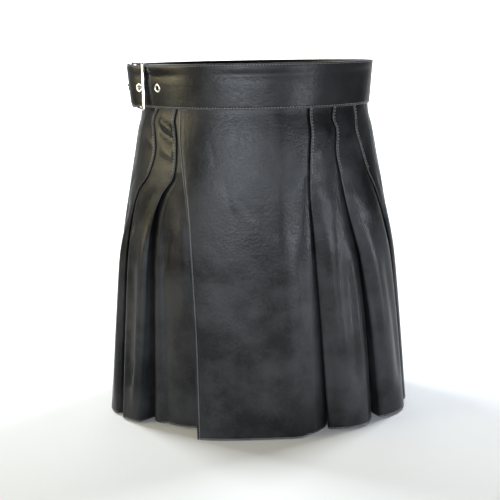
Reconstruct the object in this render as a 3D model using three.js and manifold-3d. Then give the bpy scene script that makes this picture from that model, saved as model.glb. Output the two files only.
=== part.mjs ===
// A man's leather wrap kilt, in the hollow shape it has when it is worn.
// Millimetres, +Z up, the front faces -Y and +X is the wearer's left.
// The origin is the middle of the waistband's ring, halfway up the band.
import * as THREE from 'three';
import Module from 'manifold-3d';
import { mergeVertices } from 'three/addons/utils/BufferGeometryUtils.js';

const wasm = await Module();
wasm.setup();

// Driving dimensions
const bandHeight = 61;
const bandThickness = 2.8;
const leather = 1.3;
const layer = 1.7; // leather and the air to the next layer
const seamGap = 0.35;
const hemHeight = -499;
const apronHem = -500;
const stitchEnd = -118; // the pleats are stitched flat down to here
const underlap = 22; // how far a closed pleat reaches under its own edge
const openingCurve = 0.62; // below 1 the pleats open fast under the stitching and slower lower down
const rollShare = 0.3; // an open fold bends softly over this share of its depth
const hiddenRoll = 13;

const bandTop = bandHeight / 2;
const bandBottom = -bandTop;
const skirtTop = bandBottom - seamGap;

// Level sections of the kilt, as half an oval in front and half one behind
const sections = [
  { z: 60, side: 174, front: 134, back: 136 },
  { z: 31, side: 171.3, front: 131.5, back: 134 },
  { z: -31, side: 166.3, front: 129, back: 131 },
  { z: -47, side: 168, front: 130, back: 135 },
  { z: -63, side: 172.5, front: 131, back: 139 },
  { z: -103, side: 180, front: 133, back: 148 },
  { z: -145, side: 188.5, front: 135, back: 158 },
  { z: -208, side: 201.4, front: 137, back: 169 },
  { z: -248, side: 208.5, front: 138, back: 176 },
  { z: -306, side: 215.3, front: 139, back: 184 },
  { z: -373, side: 222.2, front: 141, back: 191 },
  { z: -437, side: 228.4, front: 142, back: 198 },
  { z: -510, side: 235.5, front: 143, back: 204 },
];

// Heights at which the pleats' edges are given, and those of the solids' rings
const edgeLevels = [-31, -47, -61, -90, -125, -150, -190, -250, -350, -500];
const ringLevels = [skirtTop, -47, -62, -92, -122, -146, -185, -250, -365, hemHeight];

// Front edge of each pleat from the apron to the back, in degrees from the front centre.
// depth: how far the hem's edge lies inside the section. crest: the same for the middle of the face.
// valley: depth of the fold in front of the pleat at the hem. shift: how far behind the edge it is.
// mouth: how wide the fold stands open at the hem. roll: how far before it the next panel bends in.
const leftFolds = [
  { name: 'left_1', edge: [25, 25, 25, 25, 25, 24.5, 24, 23, 22, 21], depth: 22, crest: 19,
    valley: 33, shift: 8, mouth: 3, roll: 9, hem: -496 },
  { name: 'left_2', edge: [41.4, 42.6, 40.6, 39, 39.6, 45.6, 50, 51, 51.5, 53], depth: 7, crest: 4,
    valley: 44, shift: -8, mouth: 18, roll: 15, hem: -498 },
  { name: 'left_3', edge: [55.4, 59.4, 56.6, 53.8, 57.6, 66, 70, 71, 71, 71.5], depth: 3, crest: 0,
    valley: 34, shift: -3, mouth: 4, roll: 12, hem: -499 },
];
const rightFolds = [
  { name: 'right_1', edge: [26.8, 26.6, 26.6, 25.2, 23.9, 23.4, 23.3, 23.5, 24.6, 26], depth: 11,
    crest: 1, valley: 34, shift: 10, mouth: 5, roll: 20, hem: -498 },
  { name: 'right_2', edge: [41, 39.8, 41, 39.2, 40.1, 41, 42.8, 46.4, 50.5, 53], depth: 10, crest: 1,
    valley: 44, shift: 12, mouth: 5, roll: 22, hem: -498 },
  { name: 'right_3', edge: [57, 57.6, 55.4, 57.6, 61.4, 67, 73.5, 79.5, 84, 87], depth: 6, crest: 0,
    valley: 36, shift: 12, mouth: 5, roll: 18, hem: -499 },
];

// The other pleats: angle of the front edge at the waist, at the end of the stitching and at the hem
const hiddenFolds = [
  { number: 4, waist: 73, stitched: 75, hem: 101, valley: 33, mouth: 5 },
  { number: 5, waist: 89, stitched: 91, hem: 114.5, valley: 39, mouth: 8 },
  { number: 6, waist: 105, stitched: 106.5, hem: 127, valley: 35, mouth: 5 },
  { number: 7, waist: 120.5, stitched: 121.5, hem: 139, valley: 41, mouth: 9 },
  { number: 8, waist: 135.5, stitched: 136.5, hem: 150, valley: 34, mouth: 5 },
  { number: 9, waist: 150.5, stitched: 151, hem: 160.5, valley: 37, mouth: 7 },
];
const backFold = { name: 'back', waist: 166, stitched: 166, hem: 170.8, valley: 36, mouth: 5, roll: 11 };
const swing = [0, 0, 0, 0, 0, 0.28, 0.45, 0.62, 0.82, 1]; // share of the way from stitched to hem
const leftTwist = -3.5; // the left side's hidden folds swing back less than the right side's

const leatherLook = { color: 0x1c1c1e, roughness: 0.42, metalness: 0 };
const bandLook = { color: 0x18181a, roughness: 0.38, metalness: 0 };
const metalLook = { color: 0xc9c9c6, roughness: 0.22, metalness: 1 };

const part = new THREE.Group();

function add(name, geometry, look) {
  const mesh = new THREE.Mesh(geometry, new THREE.MeshStandardMaterial(look));
  mesh.name = name;
  part.add(mesh);
  return mesh;
}

const mix = (a, b, t) => a + (b - a) * t;
const ramp = (t) => {
  const c = Math.min(1, Math.max(0, t));
  return c * c * (3 - 2 * c);
};

// Reads a table of rising or falling positions with a smooth curve through its values
function smoothTable(positions, values, at) {
  const rising = positions[positions.length - 1] > positions[0];
  const past = (i) => (rising ? positions[i] > at : positions[i] < at);
  let i = 1;
  while (i < positions.length - 1 && !past(i)) i += 1;
  const slope = (k) => {
    const a = Math.max(0, k - 1);
    const b = Math.min(positions.length - 1, k + 1);
    return (values[b] - values[a]) / (positions[b] - positions[a]);
  };
  const width = positions[i] - positions[i - 1];
  const t = Math.min(1, Math.max(0, (at - positions[i - 1]) / width));
  const t2 = t * t;
  const t3 = t2 * t;
  return values[i - 1] * (2 * t3 - 3 * t2 + 1) + values[i] * (3 * t2 - 2 * t3)
    + slope(i - 1) * width * (t3 - 2 * t2 + t) + slope(i) * width * (t3 - t2);
}

const sectionHeights = sections.map((row) => row.z);
const sectionSides = sections.map((row) => row.side);
const sectionFronts = sections.map((row) => row.front);
const sectionBacks = sections.map((row) => row.back);

// A point on the section at height z, moved along it and into it, both in millimetres
function place(degrees, depth, z, along = 0) {
  const a = smoothTable(sectionHeights, sectionSides, z);
  const turn = THREE.MathUtils.degToRad(degrees);
  const halves = Math.cos(turn) > 0 ? sectionFronts : sectionBacks;
  const b = smoothTable(sectionHeights, halves, z);
  const speed = Math.hypot(a * Math.cos(turn), b * Math.sin(turn));
  if (along !== 0) return place(degrees + THREE.MathUtils.radToDeg(along / speed), depth, z);
  const normal = new THREE.Vector3(b * Math.sin(turn), -a * Math.cos(turn), 0).normalize();
  return new THREE.Vector3(a * Math.sin(turn), -b * Math.cos(turn), z).addScaledVector(normal, -depth);
}

// Moves a line of points sideways in its level plane, with mitred corners
function offsetLine(points, distance) {
  return points.map((point, i) => {
    const before = points[Math.max(0, i - 1)];
    const after = points[Math.min(points.length - 1, i + 1)];
    const d1 = new THREE.Vector2(point.x - before.x, point.y - before.y);
    const d2 = new THREE.Vector2(after.x - point.x, after.y - point.y);
    if (i === 0) d1.copy(d2);
    if (i === points.length - 1) d2.copy(d1);
    const n1 = new THREE.Vector2(d1.y, -d1.x).normalize();
    const n2 = new THREE.Vector2(d2.y, -d2.x).normalize();
    const middle = n1.clone().add(n2).normalize();
    const length = Math.min(1.6, 1 / Math.max(0.3, middle.dot(n1)));
    return new THREE.Vector3(
      point.x + middle.x * distance * length,
      point.y + middle.y * distance * length,
      point.z,
    );
  });
}

// Turns a closed list of triangles into a geometry whose faces point out
function closedGeometry(points, triangles) {
  let volume = 0;
  for (const [a, b, c] of triangles) {
    volume += points[a].dot(new THREE.Vector3().crossVectors(points[b], points[c]));
  }
  const turned = volume < 0 ? triangles.map(([a, b, c]) => [a, c, b]) : triangles;
  const geometry = new THREE.BufferGeometry();
  geometry.setAttribute('position', new THREE.Float32BufferAttribute(points.flatMap((p) => p.toArray()), 3));
  geometry.setIndex(turned.flat());
  geometry.computeVertexNormals();
  return geometry;
}

// A wall between two grids of points: the rows are levels, the columns follow the cloth
function wall(outer, inner) {
  const rows = outer.length;
  const columns = outer[0].length;
  const points = [...outer.flat(), ...inner.flat()];
  const o = (r, c) => r * columns + c;
  const i = (r, c) => (rows + r) * columns + c;
  const triangles = [];
  const quad = (a, b, c, d) => triangles.push([a, b, c], [a, c, d]);
  for (let r = 0; r < rows - 1; r += 1) {
    for (let c = 0; c < columns - 1; c += 1) {
      quad(o(r, c), o(r + 1, c), o(r + 1, c + 1), o(r, c + 1));
      quad(i(r, c), i(r, c + 1), i(r + 1, c + 1), i(r + 1, c));
    }
    quad(o(r, 0), i(r, 0), i(r + 1, 0), o(r + 1, 0));
    quad(o(r, columns - 1), o(r + 1, columns - 1), i(r + 1, columns - 1), i(r, columns - 1));
  }
  for (let c = 0; c < columns - 1; c += 1) {
    quad(o(0, c), o(0, c + 1), i(0, c + 1), i(0, c));
    quad(o(rows - 1, c), i(rows - 1, c), i(rows - 1, c + 1), o(rows - 1, c + 1));
  }
  return closedGeometry(points, triangles);
}

// A wall of even thickness about one grid of points
function clothWall(grid, thickness) {
  return wall(
    grid.map((row) => offsetLine(row, thickness / 2)),
    grid.map((row) => offsetLine(row, -thickness / 2)),
  );
}

function toSolid(geometry) {
  const plain = geometry.clone();
  plain.deleteAttribute('normal');
  plain.deleteAttribute('uv');
  const merged = mergeVertices(plain, 1e-4);
  return new wasm.Manifold(new wasm.Mesh({
    numProp: 3,
    vertProperties: Float32Array.from(merged.attributes.position.array),
    triVerts: Uint32Array.from(merged.index.array),
  }));
}

function fromSolid(solid) {
  const mesh = solid.getMesh();
  const geometry = new THREE.BufferGeometry();
  geometry.setAttribute('position', new THREE.Float32BufferAttribute(mesh.vertProperties, 3));
  geometry.setIndex([...mesh.triVerts]);
  geometry.computeVertexNormals();
  return geometry;
}

// Where a pleat's front edge and the bottom of its fold are at height z.
// Positions are [millimetres along the section from the edge, millimetres into it].
function foldAt(fold, z) {
  const degrees = smoothTable(edgeLevels, fold.edge, z);
  const spread = Math.min(1, Math.max(0, (stitchEnd - z) / (stitchEnd - hemHeight)));
  const open = Math.pow(spread, openingCurve);
  const edge = [0, fold.depth * open];
  const valley = [mix(underlap, fold.shift, open), mix(layer, fold.valley, open)];
  const hairpin = [
    valley[0] * rollShare * open,
    mix(edge[1] + layer, mix(edge[1], valley[1], rollShare), open),
  ];
  const run = new THREE.Vector2(valley[0] - hairpin[0], valley[1] - hairpin[1]).normalize();
  return { degrees, open, edge, hairpin, valley, run, mouth: fold.mouth * open };
}

// The end of the neighbour's face, which dips in front of this fold and runs down to its bottom
function dipBefore(fold, z) {
  const f = foldAt(fold, z);
  const away = [-f.run.y, f.run.x];
  const clear = layer + 0.5 * f.open;
  const beside = (from, gap, back) => [
    from[0] + away[0] * gap - f.run.x * back,
    from[1] + away[1] * gap - f.run.y * back,
  ];
  const half = [(f.hairpin[0] + f.valley[0]) / 2, (f.hairpin[1] + f.valley[1]) / 2];
  const knee = beside(f.hairpin, clear + f.mouth, mix(2, 1, f.open));
  const shoulder = [mix(-7, knee[0] - fold.roll, f.open), (fold.depth * 0.4 + 1) * f.open];
  return {
    degrees: f.degrees,
    shoulder,
    knee,
    half: beside(half, clear + f.mouth * 0.4, 0),
    end: beside(f.valley, clear, 0),
  };
}

// One level line of a pleat: from the bottom of its own fold out to the edge, along the face,
// and under the next pleat. Side is 1 on the wearer's left and -1 on the right.
function pleatLine(side, own, next, z) {
  const point = (degrees, [along, depth]) => place(side * degrees, depth, z, side * along);
  const f = foldAt(own, z);
  const dip = dipBefore(next, z);
  const crest = own.crest * f.open;
  const face = (share, depth) => point(mix(f.degrees, dip.degrees, share), [0, depth]);
  const half = [(f.hairpin[0] + f.valley[0]) / 2, (f.hairpin[1] + f.valley[1]) / 2];
  return [
    point(f.degrees, f.valley), point(f.degrees, half), point(f.degrees, f.hairpin),
    point(f.degrees, f.edge),
    face(0.2, mix(f.edge[1], crest, 0.68)), face(0.5, crest),
    point(dip.degrees, dip.shoulder), point(dip.degrees, dip.knee),
    point(dip.degrees, dip.half), point(dip.degrees, dip.end),
  ];
}

function levelsTo(hem) {
  return ringLevels.map((z, i) => (i === ringLevels.length - 1 ? hem : z));
}

function spreadEdge({ waist, stitched, hem }, twist) {
  return swing.map((share, i) => {
    const above = mix(waist, stitched, Math.min(1, i / 4));
    return above + (hem + twist - stitched) * share;
  });
}

function hiddenFold(side, row) {
  const twist = side < 0 ? leftTwist * (1 - (row.number - 4) / 6) : 0;
  return {
    name: `${side > 0 ? 'right' : 'left'}_${row.number}`,
    edge: spreadEdge(row, twist),
    depth: 6,
    crest: 0,
    valley: row.valley - side,
    shift: 10 + side * 2,
    mouth: row.mouth,
    roll: hiddenRoll,
    hem: hemHeight + (row.number % 3) - 1,
  };
}

// Pleats: left and right are those of someone who faces the front of the kilt
const back = { ...backFold, edge: spreadEdge(backFold, 0), depth: 4, crest: 0, shift: 10 };
const rows = {
  left: [...leftFolds, ...hiddenFolds.map((row) => hiddenFold(-1, row)), back],
  right: [...rightFolds, ...hiddenFolds.map((row) => hiddenFold(1, row)), back],
};
for (const [sideName, folds] of Object.entries(rows)) {
  const side = sideName === 'left' ? -1 : 1;
  for (let i = 0; i < folds.length - 1; i += 1) {
    const lines = levelsTo(folds[i].hem).map((z) => pleatLine(side, folds[i], folds[i + 1], z));
    add(`pleat_${folds[i].name}`, clothWall(lines, leather), leatherLook);
  }
}

// The centre back panel lies over both its neighbours, with a fold at each side
function backLine(z) {
  const half = (side) => {
    const point = (degrees, [along, depth]) => place(side * degrees, depth, z, side * along);
    const f = foldAt(back, z);
    const middle = [(f.hairpin[0] + f.valley[0]) / 2, (f.hairpin[1] + f.valley[1]) / 2];
    return [
      point(f.degrees, f.valley), point(f.degrees, middle), point(f.degrees, f.hairpin),
      point(f.degrees, f.edge), point(mix(f.degrees, 180, 0.4), [0, 0.5 * f.open]),
    ];
  };
  return [...half(1), place(180, 0, z), ...half(-1).reverse()];
}
add('back_panel', clothWall(levelsTo(hemHeight).map(backLine), leather), leatherLook);

// Front apron: its free edge lies over the first left pleat, its other side runs under the first
// right pleat. The table gives its depth inside the section at the waist and at the hem.
const apronEdge = [38.4, 37.5, 36.8, 35, 32.6, 30.8, 28.6, 26.4, 24.1, 22.3];
const apronTable = [
  { share: 0, waist: -3, hem: -9 },
  { share: 0.12, waist: -3, hem: -8.5 },
  { share: 0.25, waist: -3, hem: -6.5 },
  { share: 0.4, waist: -2.4, hem: -4 },
  { share: 0.55, waist: -1.4, hem: -2.5 },
  { share: 0.7, waist: -0.5, hem: -3 },
  { share: 0.85, waist: 0, hem: -5 },
];

function apronLine(z) {
  const dip = dipBefore(rightFolds[0], z);
  const start = -smoothTable(edgeLevels, apronEdge, z);
  const fall = Math.min(1, (skirtTop - z) / (skirtTop - apronHem));
  const stop = dip.degrees - 5;
  const face = apronTable.map((row) => (
    place(mix(start, stop, row.share), mix(row.waist, row.hem, fall), z)
  ));
  const point = ([along, depth]) => place(dip.degrees, depth, z, along);
  return [...face, point(dip.shoulder), point(dip.knee), point(dip.half), point(dip.end)];
}
add('front_apron', clothWall(levelsTo(apronHem).map(apronLine), leather), leatherLook);

// Under apron: plain and hidden, from the fold of the first left pleat to its own free edge.
// free: angle of that edge. depth and bend: how far its face and its last bend lie inside the section.
const underHem = -490;
const underWaistRow = { free: 20, depth: 2 * layer, bend: 2 * layer };
const underHemRow = { free: 13, depth: 22, bend: 26 };
const underShares = [0, 0.2, 0.4, 0.6, 0.8];

function underLine(z) {
  const dip = dipBefore(leftFolds[0], z);
  const fall = Math.min(1, (skirtTop - z) / (skirtTop - hemHeight));
  const free = mix(underWaistRow.free, underHemRow.free, ramp(fall));
  const depth = mix(underWaistRow.depth, underHemRow.depth, fall);
  const bend = mix(underWaistRow.bend, underHemRow.bend, fall);
  const knee = [dip.knee[0], Math.max(dip.knee[1], underWaistRow.depth)];
  const point = ([along, inside]) => place(-dip.degrees, inside, z, -along);
  const face = underShares.map((share) => place(mix(free, -dip.degrees + 5, share), depth, z));
  return [...face, point([knee[0] - 6, bend]), point(knee), point(dip.half), point(dip.end)];
}
add('under_apron', clothWall(levelsTo(underHem).map(underLine), leather), leatherLook);

// Waistband: one long strip that winds once round the waist and on under the front.
// Depth is that of the strip's middle inside the section, half its half height.
const frontStrip = [
  { degrees: 95, depth: -0.9, half: bandTop }, { degrees: 60, depth: -1.8, half: bandTop },
  { degrees: 20, depth: -2.6, half: bandTop }, { degrees: -15, depth: -3, half: bandTop },
  { degrees: -38, depth: -3, half: 29.8 }, { degrees: -50, depth: -3, half: 29.6 },
  { degrees: -60.5, depth: -2.9, half: 29 }, { degrees: -63, depth: -3.1, half: 28.9 },
  { degrees: -64.8, depth: -4.7, half: 28.7 }, { degrees: -66.8, depth: -7.6, half: 28.6 },
  { degrees: -69.4, depth: -10.8, half: 28.3 }, { degrees: -73, depth: -12.9, half: 28 },
  { degrees: -76.5, depth: -13.6, half: 27.7 }, { degrees: -80, depth: -13.8, half: 27.4 },
  { degrees: -83.4, depth: -12.7, half: 27 }, { degrees: -87, depth: -10, half: 26.6 },
  { degrees: -90.5, depth: -7.8, half: 26 }, { degrees: -94.5, depth: -6.9, half: 25.6 },
  { degrees: -101, depth: -6.8, half: 24 }, { degrees: -106, depth: -6.8, half: 19 },
  { degrees: -109, depth: -6.8, half: 11 },
];
const backStrip = [{ degrees: -60.4, depth: 0.6 }, { degrees: -264.6, depth: -0.9 }];
const innerStrip = [{ degrees: 28, depth: 1.6 }, { degrees: -20, depth: 1.3 }, { degrees: -60, depth: 0.6 }];
const stripStep = 7.5;

// Adds columns to a strip's table until none is further than one step from the next
function fineStrip(table) {
  const positions = table.map((row) => row.degrees);
  const depths = table.map((row) => row.depth);
  const halves = table.map((row) => row.half ?? bandTop);
  const columns = [];
  for (let i = 0; i < table.length - 1; i += 1) {
    const count = Math.ceil(Math.abs(positions[i + 1] - positions[i]) / stripStep);
    for (let k = 0; k < count; k += 1) columns.push(mix(positions[i], positions[i + 1], k / count));
  }
  columns.push(positions[positions.length - 1]);
  return columns.map((degrees) => ({
    degrees,
    depth: smoothTable(positions, depths, degrees),
    half: smoothTable(positions, halves, degrees),
  }));
}

// Rows of a strip from its top edge to its bottom edge
function stripGrid(table, roll) {
  return [1, 0.72, 0, -0.72, -1].map((share) => fineStrip(table).map((column) => {
    const rolled = Math.abs(share) === 1 ? roll(column.degrees) : 0;
    return placeOnBand(column.degrees, column.depth + rolled, share * column.half);
  }));
}
const flat = () => 0;

// The waistband's sides are straight between its two edges
function placeOnBand(degrees, depth, z, along = 0) {
  const top = place(degrees, depth, bandTop, along);
  return top.lerp(place(degrees, depth, bandBottom, along), (bandTop - z) / bandHeight);
}

function bandUp(degrees, depth) {
  return placeOnBand(degrees, depth, 10).sub(placeOnBand(degrees, depth, -10)).normalize();
}
const strapRoll = (degrees) => 1.2 * ramp((-degrees - 72) / 4) * ramp((degrees + 88) / 5);

add('waistband_back', clothWall(stripGrid(backStrip, flat), bandThickness), bandLook);
add('waistband_under', clothWall(stripGrid(innerStrip, flat), bandThickness), bandLook);

// Eyelets along the strip's free end; lift is the room under the flange where the strip bends
const eyeletHeight = -2;
const eyelets = [
  { degrees: -51.2, lift: 0.35 }, { degrees: -66.8, lift: 0.5 }, { degrees: -82.6, lift: 0.35 },
];
const eyeletOuter = 6;
const eyeletBore = 3.1;
const barrelOuter = 3.6;
const flange = 0.9;
const eyeletSides = 20;
const punchRadius = barrelOuter + 0.3;
const punchLength = 12;
const halfBand = bandThickness / 2;

// Seats a shape made round its Y axis on the front strip, with Y pointing out of the kilt
function seatOnStrap(geometry, degrees) {
  const positions = frontStrip.map((row) => row.degrees);
  const depths = frontStrip.map((row) => row.depth);
  const at = (d) => placeOnBand(d, smoothTable(positions, depths, d), eyeletHeight);
  const along = at(degrees + 0.9).sub(at(degrees - 0.9)).normalize();
  const out = along.clone().cross(bandUp(degrees, 0)).normalize();
  const up = out.clone().cross(along).negate();
  const matrix = new THREE.Matrix4().makeBasis(out.clone().cross(up), out, up);
  matrix.setPosition(at(degrees));
  return geometry.clone().applyMatrix4(matrix);
}

let strap = toSolid(clothWall(stripGrid(frontStrip, strapRoll), bandThickness));
const punch = new THREE.CylinderGeometry(punchRadius, punchRadius, punchLength, eyeletSides);
for (const row of eyelets) strap = strap.subtract(toSolid(seatOnStrap(punch, row.degrees)));
add('waistband_front', fromSolid(strap), bandLook);

eyelets.forEach((row, i) => {
  const seatAt = halfBand + row.lift;
  const barrelEnd = 0.3 - halfBand;
  const profile = [
    [eyeletBore, barrelEnd], [barrelOuter, barrelEnd], [barrelOuter, seatAt],
    [eyeletOuter, seatAt], [eyeletOuter - 0.3, seatAt + flange * 0.6],
    [eyeletOuter - 1.2, seatAt + flange], [eyeletBore + 0.5, seatAt + flange],
    [eyeletBore, seatAt + flange * 0.5], [eyeletBore, barrelEnd],
  ].map(([r, y]) => new THREE.Vector2(r, y));
  const ring = new THREE.LatheGeometry(profile, eyeletSides);
  add(`eyelet_${i + 1}`, seatOnStrap(ring, row.degrees), metalLook);
});

// Buckle: a flat bar frame. The band goes under its front bar and over its rear bar.
const frontBar = { degrees: -61.8, depth: -6.9 };
const rearBar = { degrees: -79.5, depth: -7 };
const frameOuter = 66.4;
const frameSide = 2.8;
const frontBarWidth = 6;
const rearBarWidth = 4;
const frameThick = 3;
const frameBevel = 0.7;
const frameCorner = 3;
const windowCorner = 1;

function roundedBox(path, x0, x1, half, r) {
  path.moveTo(x0 + r, -half);
  path.lineTo(x1 - r, -half);
  path.quadraticCurveTo(x1, -half, x1, -half + r);
  path.lineTo(x1, half - r);
  path.quadraticCurveTo(x1, half, x1 - r, half);
  path.lineTo(x0 + r, half);
  path.quadraticCurveTo(x0, half, x0, half - r);
  path.lineTo(x0, -half + r);
  path.quadraticCurveTo(x0, -half, x0 + r, -half);
  return path;
}

function buckleFrame() {
  const front = placeOnBand(frontBar.degrees, frontBar.depth, 0);
  const rear = placeOnBand(rearBar.degrees, rearBar.depth, 0);
  const length = front.distanceTo(rear);
  const outline = roundedBox(
    new THREE.Shape(), -rearBarWidth / 2, length + frontBarWidth / 2, frameOuter / 2, frameCorner,
  );
  const windowHalf = frameOuter / 2 - frameSide;
  outline.holes.push(roundedBox(
    new THREE.Path(), rearBarWidth / 2, length - frontBarWidth / 2, windowHalf, windowCorner,
  ));
  const plate = new THREE.ExtrudeGeometry(outline, {
    depth: frameThick - 2 * frameBevel, bevelEnabled: true, bevelThickness: frameBevel,
    bevelSize: frameBevel, bevelOffset: -frameBevel, bevelSegments: 2, curveSegments: 4,
  });
  plate.translate(0, 0, frameBevel - frameThick / 2);
  const along = front.clone().sub(rear).normalize();
  const face = along.clone().cross(bandUp(rearBar.degrees, rearBar.depth)).normalize();
  const matrix = new THREE.Matrix4().makeBasis(along, face.clone().cross(along), face);
  return plate.applyMatrix4(matrix.setPosition(rear));
}
add('buckle_frame', fromSolid(toSolid(buckleFrame())), metalLook);

// Keeper: a strip that is sewn to the back band and loops round the buckle's rear bar
const keeperLeather = 1.5;
const keeperHalf = 21;
const keeperInner = -2.3;
const keeperOuter = -4.15;
const loopRadius = 3.4;
const keeperTails = [101, 96, 91, 87.5];
const loopTurn = 0.62 * Math.PI; // the loop wraps this far past the bar on either side
const loopSteps = 8;
const slotHeight = 9; // cut through the loop, where the prong hooks round the bar
const slotWidth = 20;
const slotAt = { degrees: -77.6, depth: -6.5 };

function keeperLine(z) {
  const loop = [];
  for (let i = 0; i <= loopSteps; i += 1) {
    const turn = mix(-loopTurn, loopTurn, i / loopSteps);
    loop.push(placeOnBand(
      rearBar.degrees, rearBar.depth - loopRadius * Math.sin(turn), z, loopRadius * Math.cos(turn),
    ));
  }
  const inner = keeperTails.map((degrees) => placeOnBand(-degrees, keeperInner, z));
  const outer = keeperTails.map((degrees) => placeOnBand(-degrees, keeperOuter, z)).reverse();
  return [...inner, ...loop, ...outer];
}
const slotCutter = new THREE.BoxGeometry(slotWidth, slotWidth, slotHeight);
slotCutter.translate(...placeOnBand(slotAt.degrees, slotAt.depth, eyeletHeight).toArray());
const keeper = toSolid(clothWall([keeperHalf, 0, -keeperHalf].map(keeperLine), keeperLeather));
add('buckle_keeper', fromSolid(keeper.subtract(toSolid(slotCutter))), bandLook);

// Prong: hooks round the rear bar, comes up through the second eyelet and lies on the front bar
const prongRadius = 1.1;
const prongTable = [
  { degrees: -81.2, depth: -7 }, { degrees: -80.8, depth: -5 }, { degrees: -79.5, depth: -3.9 },
  { degrees: -76, depth: -3.6 }, { degrees: -72, depth: -3.6 }, { degrees: -69.4, depth: -4.3 },
  { degrees: -68, depth: -6 }, { degrees: -66.6, depth: -8.6 }, { degrees: -64.9, depth: -10.2 },
  { degrees: -62.6, depth: -10.3 }, { degrees: -60, depth: -10.1 },
];
const prongSection = new THREE.Shape();
prongSection.absarc(0, 0, prongRadius, 0, Math.PI * 2);
const prongPoints = prongTable.map((row) => placeOnBand(row.degrees, row.depth, eyeletHeight));
const prong = new THREE.ExtrudeGeometry(prongSection, {
  steps: 26, curveSegments: 8, bevelEnabled: false, extrudePath: new THREE.CatmullRomCurve3(prongPoints),
});
add('buckle_prong', fromSolid(toSolid(prong)), metalLook);

export default part;
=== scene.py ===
# A man's leather wrap kilt, filled out as it is when worn, in the frame's own metres.
# +Z is up, the front faces -Y and +X is the wearer's left. Left and right in the names of
# pieces are those of someone who faces the front.
import math

import bmesh
import bpy
import numpy as np
from mathutils import Matrix, Vector


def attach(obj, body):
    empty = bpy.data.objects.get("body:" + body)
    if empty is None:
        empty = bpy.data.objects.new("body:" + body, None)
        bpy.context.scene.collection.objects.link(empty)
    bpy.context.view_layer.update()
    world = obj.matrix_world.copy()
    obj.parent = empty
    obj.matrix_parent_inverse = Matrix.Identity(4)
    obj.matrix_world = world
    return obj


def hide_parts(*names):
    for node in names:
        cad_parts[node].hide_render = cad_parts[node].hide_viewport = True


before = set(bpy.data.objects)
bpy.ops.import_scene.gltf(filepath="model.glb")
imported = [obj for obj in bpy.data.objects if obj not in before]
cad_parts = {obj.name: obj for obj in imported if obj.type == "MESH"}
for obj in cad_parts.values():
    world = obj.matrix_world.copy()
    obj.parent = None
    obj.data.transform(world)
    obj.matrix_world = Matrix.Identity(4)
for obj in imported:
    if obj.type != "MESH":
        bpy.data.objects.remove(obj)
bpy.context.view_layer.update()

# Skirt leather
# Every panel of the skirt is cut from one black cowhide, 1.3 mm thick, with a satin finish.
# It has a fine pebble grain, soft cloudy patches and a dull finish deep inside its folds, where nothing
# rubs it.
# Its pressed folds and hems are painted paler: partly worn leather, partly a painted highlight along the
# edges.


class Flow:
    """One output in a tree of nodes. Sums and products of it add Math nodes."""

    def __init__(self, tree, socket=None):
        self.tree = tree
        self.socket = socket

    def node(self, kind, settings, inputs, output=0):
        """Adds a node: its settings first, then the values or links of its sockets."""
        made = self.tree.nodes.new(kind)
        for name, value in settings.items():
            setattr(made, name, value)
        for name, value in inputs.items():
            if isinstance(value, Flow):
                self.tree.links.new(value.socket, made.inputs[name])
            else:
                made.inputs[name].default_value = value
        return Flow(self.tree, made.outputs[output])

    def math(self, operation, *values):
        inputs = dict(enumerate(values))
        return self.node("ShaderNodeMath", {"operation": operation}, inputs)

    def __add__(self, other):
        return self.math("ADD", self, other)

    def __radd__(self, other):
        return self.math("ADD", other, self)

    def __sub__(self, other):
        return self.math("SUBTRACT", self, other)

    def __rsub__(self, other):
        return self.math("SUBTRACT", other, self)

    def __mul__(self, other):
        return self.math("MULTIPLY", self, other)

    def __rmul__(self, other):
        return self.math("MULTIPLY", other, self)

    def clipped(self):
        return self.math("MINIMUM", self.math("MAXIMUM", self, 0.0), 1.0)

    def noise(self, points, scale, detail=2.0):
        return self.node("ShaderNodeTexNoise", {}, {"Vector": points, "Scale": scale, "Detail": detail})

    def blend(self, share, first, second):
        """A colour between two colours; output 2 of the Mix node is its colour."""
        return self.node("ShaderNodeMix", {"data_type": "RGBA"}, {0: share, 6: first, 7: second}, 2)


def new_finish(name):
    """A material, its shader, a flow in its tree and the points of its object."""
    material = bpy.data.materials.new(name)
    material.use_nodes = True
    flow = Flow(material.node_tree)
    points = flow.node("ShaderNodeTexCoord", {}, {}, "Object")
    return material, material.node_tree.nodes["Principled BSDF"], flow, points


def connect(shader, flows):
    """Leads flows into the shader's sockets."""
    for name, flow in flows.items():
        flow.tree.links.new(flow.socket, shader.inputs[name])


grain_relief = 0.00002
ripple_relief = 0.00028
scuff_relief = 0.00022
billow_relief = 0.002


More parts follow.
